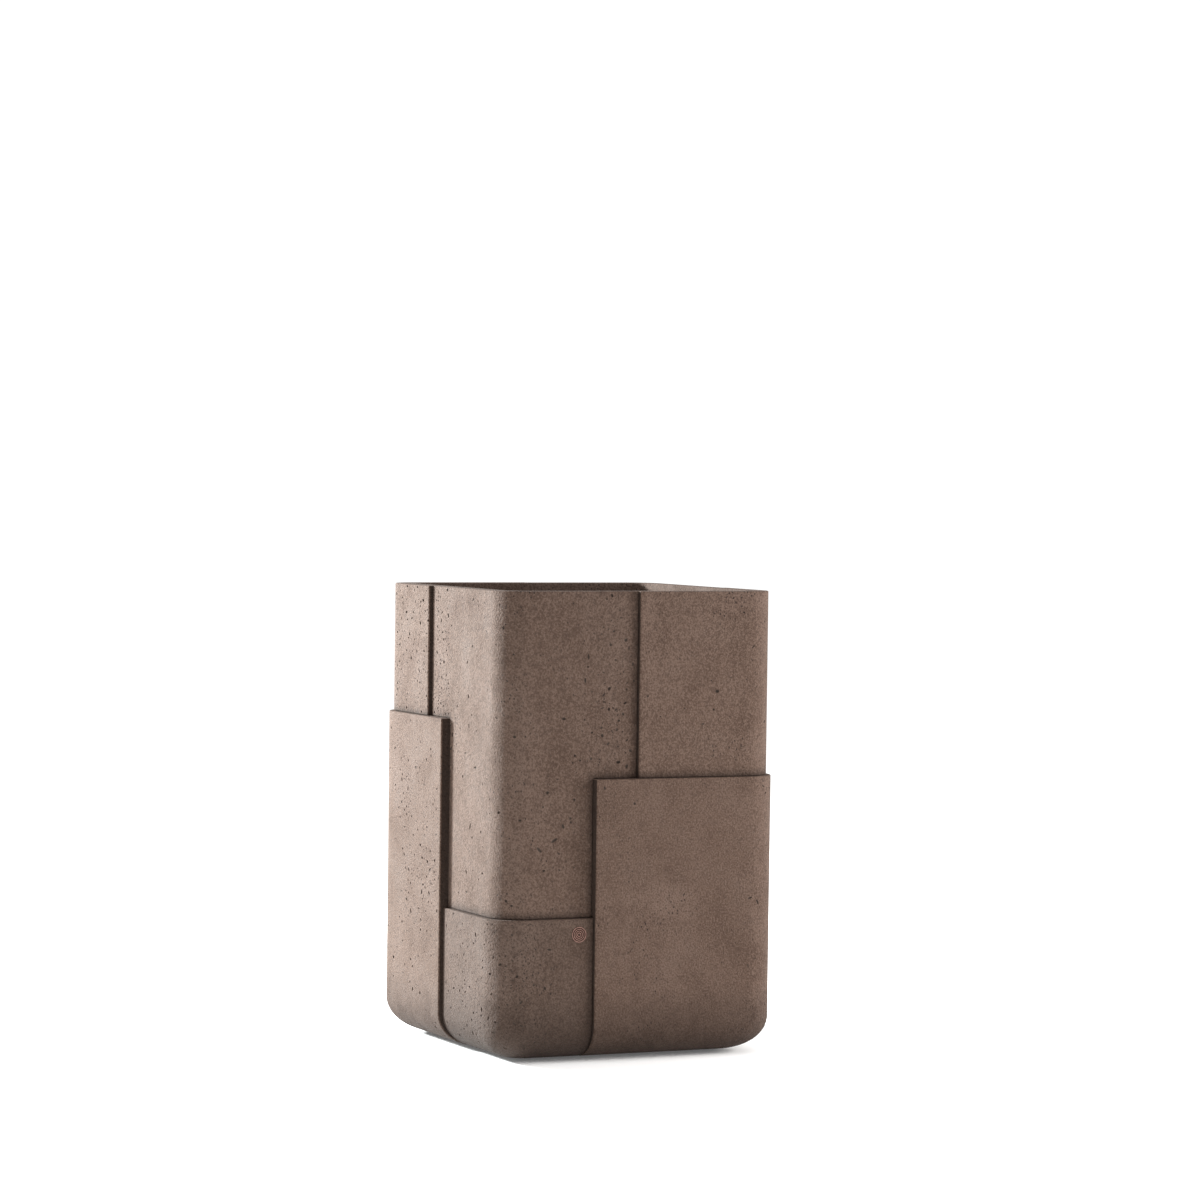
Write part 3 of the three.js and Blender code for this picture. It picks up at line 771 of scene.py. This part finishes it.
# Bug holes wanted on the upper and the lower slab, and the share of them drawn in clusters.
PITS = {
    "front_left": ((620, 0.7), (300, 0.6)),
    "front_right": ((90, 0.5), (150, 0.5)),
    "back_right": ((420, 0.6), (260, 0.6)),
    "back_left": ((420, 0.6), (640, 0.6)),
}
FRONT_SHARE = 0.22  # of the bug holes drawn on the front and back faces, the share that is kept
PIT_CLUSTERS = 6
CLUSTER_REACH = (12, 55)  # mm
CLUSTER_DROOP = 1.6  # a cluster's reach downwards, as a multiple of its reach sideways
PIT_TRIES = 20
PIT_SMALLEST = 0.85 * MM
PIT_GROWTH = 2.2 * MM
PIT_STRETCH = 1.6
SIZE_SKEW = 3.4  # small holes far outnumber large ones
STRETCH_SKEW = 2.5  # and round holes outnumber long ones
PIT_MARGIN = 0.7 * MM
PIT_GAP = 0.4 * MM
LUMP_ROOM = 1.35  # room for the lumps, as a multiple of the radius


def pit_cutter(face, columns, count, cluster_share, materials, rng):
    """Bug holes: pebbles sunk in the face, spaced so that no two touch."""
    clusters = []
    for _ in range(PIT_CLUSTERS):
        start, end, bottom = rng.choice(columns)
        place = (rng.uniform(start, end), rng.uniform(face.top, bottom))
        clusters.append((*place, rng.uniform(*CLUSTER_REACH) * MM))
    placed = []
    vertices = []
    faces = []
    for _ in range(PIT_TRIES * count):
        if len(placed) == count:
            break
        size = PIT_SMALLEST + PIT_GROWTH * rng.random() ** SIZE_SKEW
        if rng.random() < cluster_share:
            s0, v0, reach = rng.choice(clusters)
            s, v = rng.gauss(s0, reach), rng.gauss(v0, CLUSTER_DROOP * reach)
        else:
            start, end, bottom = rng.choice(columns)
            s, v = rng.uniform(start, end), rng.uniform(face.top, bottom)
        if s < 0 and rng.random() > FRONT_SHARE:
            continue
        long = size * (1 + PIT_STRETCH * rng.random() ** STRETCH_SKEW)
        margin = long + PIT_MARGIN
        column = [c for c in columns if c[0] + margin < s < c[1] - margin]
        lowest = min(column[0][2], face.foot_end) - margin if column else 0
        if not column or not face.top + margin < v < lowest:
            continue
        if any(math.hypot(s - a, v - b) < (long + r) * LUMP_ROOM + PIT_GAP for a, b, r in placed):
            continue
        placed.append((s, v, long))
        offset = len(vertices)
        vertices.extend(sunk_pebble(face, s, v, size, long, rng).tolist())
        faces.extend(tuple(k + offset for k in f) for f in BALL_FACES)
    cutter = build("pits", vertices, faces, materials)
    cutter.data.polygons.foreach_set("material_index", [1] * len(faces))
    return cutter


def badge_seat():
    """Centre of the disc's outer face, its radius and its thickness."""
    low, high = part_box("badge_disc")
    centre = (low + high) / 2
    return Vector((centre.x, low.y, centre.z)), (high.x - low.x) / 2, high.y - low.y


def make_slab(corner, tier):
    node = f"slab_{corner}_{TIERS[tier]}"
    face, columns, vertices, faces, seam_shade_and_dirt = slab_mesh(corner, tier)
    materials = [slab_concrete[node], pit_concrete]
    slab = build(f"{node}_cast", vertices, faces, materials)
    # Painted seam shade, with some dirt, for the material to read.
    attribute = slab.data.attributes.new("seam_shade_and_dirt", "FLOAT", "POINT")
    attribute.data.foreach_set("value", seam_shade_and_dirt)
    rng = random.Random(f"bug holes {node}")
    pits = pit_cutter(face, columns, *PITS[corner][tier], materials, rng)
    combine(slab, pits, "DIFFERENCE")
    if node == "slab_front_left_lower":
        origin, radius, thick = badge_seat()
        cut_seat(slab, origin, (0, 1, 0), radius, thick, 4 * MM, segments=64)
    attach(slab, "planter_shell", node)


for corner_name in CORNERS:
    for slab_tier in (0, 1):
        make_slab(corner_name, slab_tier)

# ---------- core tub

LINER_GAP = 2 * MM
CAVITY_HALF = -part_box("lifting_socket_left")[1].x + BED
LEDGE_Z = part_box("liner")[1].z - 6.3 * MM
REBATE_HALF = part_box("liner")[1].x + LINER_GAP
REBATE_R = 32 * MM
CAVITY_R = 24 * MM
CAVITY_FILLET = 30 * MM
FLOOR_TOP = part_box("drain_sleeve")[1].z - 3.3 * MM
RIM_R = 2.5 * MM
DRAIN_R = 32 * MM


def core_rings():
    """The core's section, from its plinth round the outside, over the rim and down to its ledge."""
    under = PLINTH_Z + VENEER
    half = core_high.x
    radius = CORNER_R - VENEER
    rings = [(PLINTH_HALF, FLAT_CORNER_R, PLINTH_Z), (PLINTH_HALF, FLAT_CORNER_R, under)]
    rings += foot_rings(half, radius, FLAT_CORNER_R, under, BOTTOM_R - VENEER, steps=8)
    rings += over_edge(half, radius, RIM_Z, RIM_R)
    rings += into_hole(REBATE_HALF, REBATE_R, RIM_Z, RIM_R)
    rings.append((REBATE_HALF, REBATE_R, LEDGE_Z))
    return rings


def cavity_rings():
    """The cavity under the ledge, down to its floor. Rings close to each rounding keep its walls even."""
    rings = into_hole(CAVITY_HALF, CAVITY_R, LEDGE_Z, RIM_R)
    rings.append((CAVITY_HALF, CAVITY_R, LEDGE_Z - RIM_R - FLAT_RIM))
    rings.append((CAVITY_HALF, CAVITY_R, FLOOR_TOP + CAVITY_FILLET + FLAT_RIM))
    foot = foot_rings(CAVITY_HALF, CAVITY_R, CAVITY_R / 2, FLOOR_TOP, CAVITY_FILLET, steps=6)
    return rings + foot[::-1]


def make_core():
    core = ring_solid("core_cast", core_rings() + cavity_rings(), core_concrete)
    drill(core, [(0, 0)], 0, FLOOR_TOP + OVERSHOOT, DRAIN_R, segments=64)
    places = []
    for corner in CORNERS:
        low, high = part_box(f"base_pad_{corner}")
        places.append(((low + high) / 2)[:2])
    drill(core, places, 0, high.z + BED, (high.x - low.x) / 2 + BED, segments=64)
    for wall, (x, y) in WALLS.items():
        origin, radius, length = socket_axis(wall)
        cut_seat(core, origin, (x, y, 0), radius, length, 3 * MM)
    attach(core, "planter_shell", "core_tub")


def socket_axis(wall):
    """Mouth centre on the cavity wall, radius and reach from the cavity wall of one socket."""
    low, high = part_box(f"lifting_socket_{wall}")
    x, y = WALLS[wall]
    centre = (low + high) / 2
    reach = max(abs(low.x * x + low.y * y), abs(high.x * x + high.y * y))
    origin = Vector((x * CAVITY_HALF, y * CAVITY_HALF, centre.z))
    return origin, (high.z - low.z) / 2, reach - CAVITY_HALF


def make_socket(wall):
    origin, radius, length = socket_axis(wall)
    bore = 8 * MM
    bore_depth = 17 * MM
    pitch = 2 * MM
    thread = 0.7 * MM
    edge = 0.6 * MM
    profile = [(0, bore_depth), (bore, bore_depth)]
    turns = int((bore_depth - BED) / pitch) - 1
    for turn in range(turns):
        root = bore_depth - (turn + 0.5) * pitch
        profile += [(bore + thread, root), (bore, root - pitch / 2)]
    profile += [(bore, BED + edge), (bore + edge, BED), (radius - edge, BED)]
    profile += [(radius, BED + edge), (radius, length), (0, length)]
    socket = turned(f"{wall}_socket_turned", profile, [socket_steel], origin, (*WALLS[wall], 0), 40)
    attach(socket, "planter_shell", f"lifting_socket_{wall}")


def make_cap(wall):
    """Plug with a domed edge and a slot across its head."""
    origin, _, _ = socket_axis(wall)
    direction = Vector((*WALLS[wall], 0))
    low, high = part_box(f"socket_cap_{wall}")
    radius = (high.z - low.z) / 2
    head = 2 * MM
    edge = 1.1 * MM
    stem = 8 * MM - BED
    stem_length = 10 * MM
    chamfer = 0.8 * MM
    profile = [(0, -head)]
    for angle in quarter_turn(5):
        profile.append((radius - edge + edge * math.sin(angle), -head + edge - edge * math.cos(angle)))
    profile += [(radius, 0), (stem, 0), (stem, stem_length - chamfer)]
    profile += [(stem - chamfer, stem_length), (0, stem_length)]
    cap = turned(f"{wall}_cap_moulded", profile, [cap_plastic], origin, direction)
    across, along, upright = 8, 2, 1.1  # half sizes of the slot's cutter, in mm
    slot_half = Vector((
        abs(direction.y) * across + abs(direction.x) * along,
        abs(direction.x) * across + abs(direction.y) * along,
        upright,
    )) * MM
    slot_centre = origin - direction * 3 * MM
    slot = block("cap_slot", slot_centre, slot_half, cap_plastic)
    combine(cap, slot, "DIFFERENCE")
    attach(cap, "planter_shell", f"socket_cap_{wall}")


def make_badge():
    """Disc with three raised rings on a sunk ground. The ground and the outer edge are tarnished."""
    front, radius, thick = badge_seat()
    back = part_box("badge_disc")[1].y
    edge = 0.4 * MM
    ground_r = radius - 1.6 * MM
    ground = thick - 0.9 * MM
    profile = [(0, 0), (radius, 0), (radius, thick - edge), (radius - edge, thick)]
    profile += [(ground_r, thick), (ground_r - 0.5 * MM, ground)]
    for ring_r in (10.2 * MM, 6.8 * MM, 3.4 * MM):
        for offset, height in ((0.9, 0.0), (0.5, 0.5), (0.0, 0.62), (-0.5, 0.5), (-0.9, 0.0)):
            profile.append((ring_r + offset * MM, ground + height * MM))
    profile.append((0, ground))
    origin = Vector((front.x, back, front.z))
    badge = turned("badge_struck", profile, [badge_copper, badge_patina], origin, (0, -1, 0), 64)
    slack = 0.3 * MM
    for face in badge.data.polygons:
        across = math.hypot(face.center.x - front.x, face.center.z - front.z)
        sunk = back - face.center.y < ground + slack
        if sunk and across < ground_r or across > radius - slack:
            face.material_index = 1
    attach(badge, "planter_shell", "badge_disc")


# ---------- drain and pads


def make_sleeve():
    low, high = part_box("drain_sleeve")
    flange_r = high.x
    tube_r = DRAIN_R - BED
    bore = 27 * MM
    flange_z = high.z - 3 * MM
    edge = 0.8 * MM
    profile = [(bore, low.z), (tube_r, low.z), (tube_r, flange_z), (flange_r - edge / 2, flange_z)]
    profile += [(flange_r - inset, high.z - drop) for inset, drop in reversed(rounding(edge))]
    profile += [(bore + inset, high.z - drop) for inset, drop in rounding(edge)]
    sleeve = turned("sleeve_moulded", profile, [drain_plastic], segments=72)
    attach(sleeve, "planter_shell", "drain_sleeve")


def make_strainer():
    """Slotted dome."""
    low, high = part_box("drain_strainer")
    rim_r = high.x
    shell = 3 * MM
    rise = high.z - low.z - shell
    outer = [(rim_r * math.cos(a), low.z + shell + rise * math.sin(a)) for a in quarter_turn(14)]
    inner = [((rim_r - shell) * math.cos(a), low.z + rise * math.sin(a)) for a in quarter_turn(14)]
    outer[-1] = (0, outer[-1][1])
    inner[-1] = (0, inner[-1][1])
    profile = list(reversed(inner)) + [(rim_r, low.z)] + outer
    strainer = turned("strainer_moulded", profile, [drain_plastic], segments=72)
    slots = 8
    slot_centre = (20 * MM, 0, low.z + rise)
    slot_half = (8 * MM, 2.5 * MM, 20 * MM)
    for slot in range(slots):
        turn = 2 * math.pi * slot / slots
        blade = block("strainer_slot", slot_centre, slot_half, drain_plastic, turn)
        combine(strainer, blade, "DIFFERENCE")
    attach(strainer, "planter_shell", "drain_strainer")


def make_pad(corner):
    """Round rubber pad with three grooves in its foot."""
    low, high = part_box(f"base_pad_{corner}")
    centre = (low + high) / 2
    radius = (high.x - low.x) / 2
    chamfer = 1.5 * MM
    groove = 1.2 * MM
    top_edge = 0.5 * MM
    profile = [(0, 0)]
    for ring_r in (10 * MM, 18 * MM, 26 * MM):
        profile += [(ring_r - groove, 0), (ring_r - groove / 2, groove), (ring_r + groove / 2, groove)]
        profile.append((ring_r + groove, 0))
    profile += [(radius - chamfer, 0), (radius - 0.3 * chamfer, 0.4 * chamfer), (radius, chamfer)]
    profile += [(radius, high.z - top_edge), (radius - top_edge, high.z), (0, high.z)]
    pad = turned(f"{corner}_pad_moulded", profile, [pad_rubber], (centre.x, centre.y, 0), segments=64)
    attach(pad, "planter_shell", f"base_pad_{corner}")


# ---------- liner, plate and handles


def make_liner():
    """Tapered tub with a rim flange, four pegs for the plate and five drain holes."""
    low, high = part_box("liner")
    top, base = high.z, low.z
    flange_half = high.x
    flange_r = REBATE_R - LINER_GAP
    flange_z = top - 6 * MM
    flange_edge = 0.6 * MM
    top_edge = 1.8 * MM
    wall, floor = 4 * MM, 5 * MM
    base_half, top_half, corner_r = 221 * MM, 234 * MM, 38 * MM
    foot = 8 * MM
    inside = base + floor

    def foot_of(half, z):
        return foot_rings(half, corner_r, corner_r - foot, z, foot, steps=5)

    def wall_ring(z, z_low, half_low, half_high):
        share = (z - z_low) / (flange_z - z_low)
        return half_low + (half_high - half_low) * share, corner_r, z

    rings = foot_of(base_half, base)
    rings.append(wall_ring(base + foot + FLAT_RIM, base + foot, base_half, top_half))
    rings.append((top_half, corner_r, flange_z))
    rings.append((flange_half - flange_edge, flange_r - flange_edge, flange_z))
    rings.append((flange_half, flange_r, flange_z + flange_edge))
    rings += over_edge(flange_half, flange_r, top, top_edge)
    rings += into_hole(top_half - wall, corner_r, top, top_edge)
    rings.append(wall_ring(inside + foot + FLAT_RIM, inside + foot, base_half - wall, top_half - wall))
    rings += reversed(foot_of(base_half - wall, inside))
    liner = ring_solid("liner_moulded", rings, liner_plastic)

    spacing = 128 * MM
    grid = [(x * spacing, y * spacing) for x in (-1, 0, 1) for y in (-1, 0, 1)]
    corners = [(x, y) for x, y in grid if x * y != 0]
    cross = [(x, y) for x, y in grid if x * y == 0]
    peg_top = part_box("drainage_plate")[0].z - BED
    peg_foot_r, peg_top_r, hole_r = 14 * MM, 11 * MM, 4 * MM
    pegs = posts(corners, inside - OVERSHOOT, peg_top, peg_foot_r, peg_top_r, liner_plastic, 32)
    combine(liner, pegs, "UNION")
    drill(liner, cross, base - OVERSHOOT, inside + OVERSHOOT, hole_r, segments=32)
    attach(liner, "liner_body", "liner")


def make_plate():
    """Perforated plate with two finger holes."""
    low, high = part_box("drainage_plate")
    half, radius, edge = high.x, 32 * MM, 0.8 * MM
    rings = [(half - inset, radius - inset, low.z + drop) for inset, drop in rounding(edge)]
    rings += over_edge(half, radius, high.z, edge)
    plate = ring_solid("plate_moulded", rings, drain_plastic)
    spacing = 64 * MM
    steps = [i - 2.5 for i in range(6)]
    holes = [(x * spacing, y * spacing) for x in steps for y in steps]
    fingers = [(-spacing, 0), (spacing, 0)]
    for places, hole_r, segments in ((holes, 6 * MM, 24), (fingers, 15 * MM, 48)):
        drill(plate, places, low.z - OVERSHOOT, high.z + OVERSHOOT, hole_r, segments)
    attach(plate, "drainage_plate_body", "drainage_plate")


ROD_R = 3 * MM


def make_handle(side):
    """Bail bent from rod: two stub ends in the brackets, two arms and a grip."""
    node = f"liner_handle_{side}"
    low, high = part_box(node)
    x = (low.x + high.x) / 2
    hinge_z = high.z - ROD_R
    bottom = low.z + ROD_R
    half_width = 58 * MM
    stub_bend, grip_bend = 6 * MM, 14 * MM
    bend_steps = 8
    corners = [(low.y, hinge_z), (-half_width, hinge_z), (-half_width, bottom)]
    corners += [(half_width, bottom), (half_width, hinge_z), (high.y, hinge_z)]
    path = [Vector(corners[0])]
    for i, bend in enumerate((stub_bend, grip_bend, grip_bend, stub_bend)):
        corner = Vector(corners[i + 1])
        enter = corner + (Vector(corners[i]) - corner).normalized() * bend
        leave = corner + (Vector(corners[i + 2]) - corner).normalized() * bend
        for step in range(bend_steps + 1):
            t = step / bend_steps
            path.append(enter * (1 - t) ** 2 + corner * 2 * t * (1 - t) + leave * t**2)
    path.append(Vector(corners[-1]))
    around = 20
    edge = 0.6 * MM
    vertices = []

    def ring(centre, direction, radius):
        across = Vector((-direction.y, direction.x))
        for i in range(around):
            angle = 2 * math.pi * i / around
            point = centre + across * radius * math.cos(angle)
            vertices.append((x + radius * math.sin(angle), point.x, point.y))

    for i, centre in enumerate(path):
        before = path[max(i - 1, 0)]
        after = path[min(i + 1, len(path) - 1)]
        direction = (after - before).normalized()
        if i == 0:
            ring(centre, direction, ROD_R - edge)
            ring(centre + direction * edge, direction, ROD_R)
        elif i == len(path) - 1:
            ring(centre - direction * edge, direction, ROD_R)
            ring(centre, direction, ROD_R - edge)
        else:
            ring(centre, direction, ROD_R)
    faces = tube(len(vertices) // around, around)
    handle = build(f"{side}_handle_bent", vertices, faces, [handle_steel])
    attach(handle, f"handle_{side}_body", node)


def bracket_outline(eye_x, eye_z, wall_x, low_z, high_z):
    """(x, z) points round a bracket: down from the wall, round its nose and back to the wall."""
    nose = 7 * MM
    nose_steps = 12
    spacing = 2 * MM
    foot_clearance = 0.8 * MM
    corners = [(wall_x, high_z), (eye_x, eye_z + nose)]
    for step in range(1, nose_steps):
        angle = math.pi * step / nose_steps
        corners.append((eye_x - nose * math.sin(angle), eye_z + nose * math.cos(angle)))
    corners += [(eye_x, eye_z - nose), (wall_x - foot_clearance, low_z)]
    outline = []
    for i, (x, z) in enumerate(corners):
        next_x, next_z = corners[(i + 1) % len(corners)]
        count = max(1, round(math.dist((x, z), (next_x, next_z)) / spacing))
        for k in range(count):
            outline.append((x + (next_x - x) * k / count, z + (next_z - z) * k / count))
    return outline


def make_bracket(side, end):
    """Lug on the liner's wall, with the eye that a handle's stub turns in."""
    node = f"handle_bracket_{side}_{end}"
    low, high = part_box(node)
    sign = -1 if side == "left" else 1
    handle_low, handle_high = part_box(f"liner_handle_{side}")
    eye_x = abs(handle_low.x + handle_high.x) / 2
    eye_z = handle_high.z - ROD_R
    wall_x = max(abs(low.x), abs(high.x))
    outline = bracket_outline(eye_x, eye_z, wall_x, low.z, high.z)
    bore = ROD_R + BED
    bevel = 0.8 * MM
    centre_x = sum(x for x, _ in outline) / len(outline)
    loops = []
    for y, inset in ((low.y, bevel), (low.y + bevel, 0), (high.y - bevel, 0), (high.y, bevel)):
        loop = []
        for x, z in outline:
            offset = Vector((x - centre_x, z - eye_z))
            offset *= 1 - inset / offset.length
            loop.append((sign * (centre_x + offset.x), y, eye_z + offset.y))
        loops.append(loop)
    for y in (high.y, low.y):
        loop = []
        for x, z in outline:
            offset = Vector((x - eye_x, z - eye_z)).normalized() * bore
            loop.append((sign * (eye_x + offset.x), y, eye_z + offset.y))
        loops.append(loop)
    vertices = [v for loop in loops for v in loop]
    faces = []
    count = len(outline)
    for i in range(len(loops)):
        faces += band(i * count, (i + 1) % len(loops) * count, count)
    bracket = build(f"{side}_{end}_bracket_moulded", vertices, faces, [liner_plastic])
    attach(bracket, "liner_body", node)


make_core()
make_badge()
make_sleeve()
make_strainer()
for corner_name in CORNERS:
    make_pad(corner_name)
for wall_name in WALLS:
    make_socket(wall_name)
    make_cap(wall_name)
make_liner()
make_plate()
for side_name in ("left", "right"):
    make_handle(side_name)
    for end_name in ("front", "back"):
        make_bracket(side_name, end_name)

# ---------- studio


def make_floor():
    half = 12.0
    corners = [(-half, -half, 0), (half, -half, 0), (half, half, 0), (-half, half, 0)]
    material, tree, shader = node_material("studio_floor")
    fill(tree, shader, {"Base Color": (0.9, 0.9, 0.9, 1), "Roughness": 0.9})
    fill(tree, shader, {"Emission Color": (1.0, 1.0, 1.0, 1), "Emission Strength": 0.1})
    build("studio_floor", corners, [(0, 1, 2, 3)], [material])


def make_world():
    world = bpy.data.worlds.new("studio")
    scene.world = world
    world.use_nodes = True
    background = world.node_tree.nodes["Background"]
    fill(world.node_tree, background, {"Color": (1.0, 1.0, 1.0, 1), "Strength": 1.1})


def area_light(name, location, target, size, power, colour):
    data = bpy.data.lights.new(name, "AREA")
    data.shape = "RECTANGLE"
    data.size, data.size_y = size
    data.energy = power
    data.color = colour
    lamp = bpy.data.objects.new(name, data)
    scene.collection.objects.link(lamp)
    lamp.location = location
    direction = Vector(target) - Vector(location)
    lamp.rotation_euler = direction.to_track_quat("-Z", "Y").to_euler()


def make_camera():
    """Camera well round to the left and a little above the rim."""
    data = bpy.data.cameras.new("camera")
    data.sensor_width = 36.0
    data.lens = 125.79
    data.clip_end = 100
    camera = bpy.data.objects.new("camera", data)
    scene.collection.objects.link(camera)
    camera.location = (-3.361, -7.456, 1.120)
    yaw = math.radians(24.548)
    pitch = math.radians(1.790)
    roll = math.radians(0.724)
    look = Matrix.Rotation(-yaw, 4, "Z") @ Matrix.Rotation(math.pi / 2 - pitch, 4, "X")
    camera.matrix_world = Matrix.Translation(camera.location) @ look @ Matrix.Rotation(roll, 4, "Z")
    scene.camera = camera


make_floor()
make_world()
area_light("key", (-3.1, 3.3, 2.0), (0, 0, 0.45), size=(0.8, 0.8), power=1080, colour=(1.0, 1.06, 1.06))
area_light(
    "fill", (1.65, -1.05, 0.8), (0.1, -0.28, 0.45), size=(0.6, 0.9), power=38, colour=(1.0, 0.97, 0.94)
)
make_camera()
scene.view_settings.view_transform = "Standard"
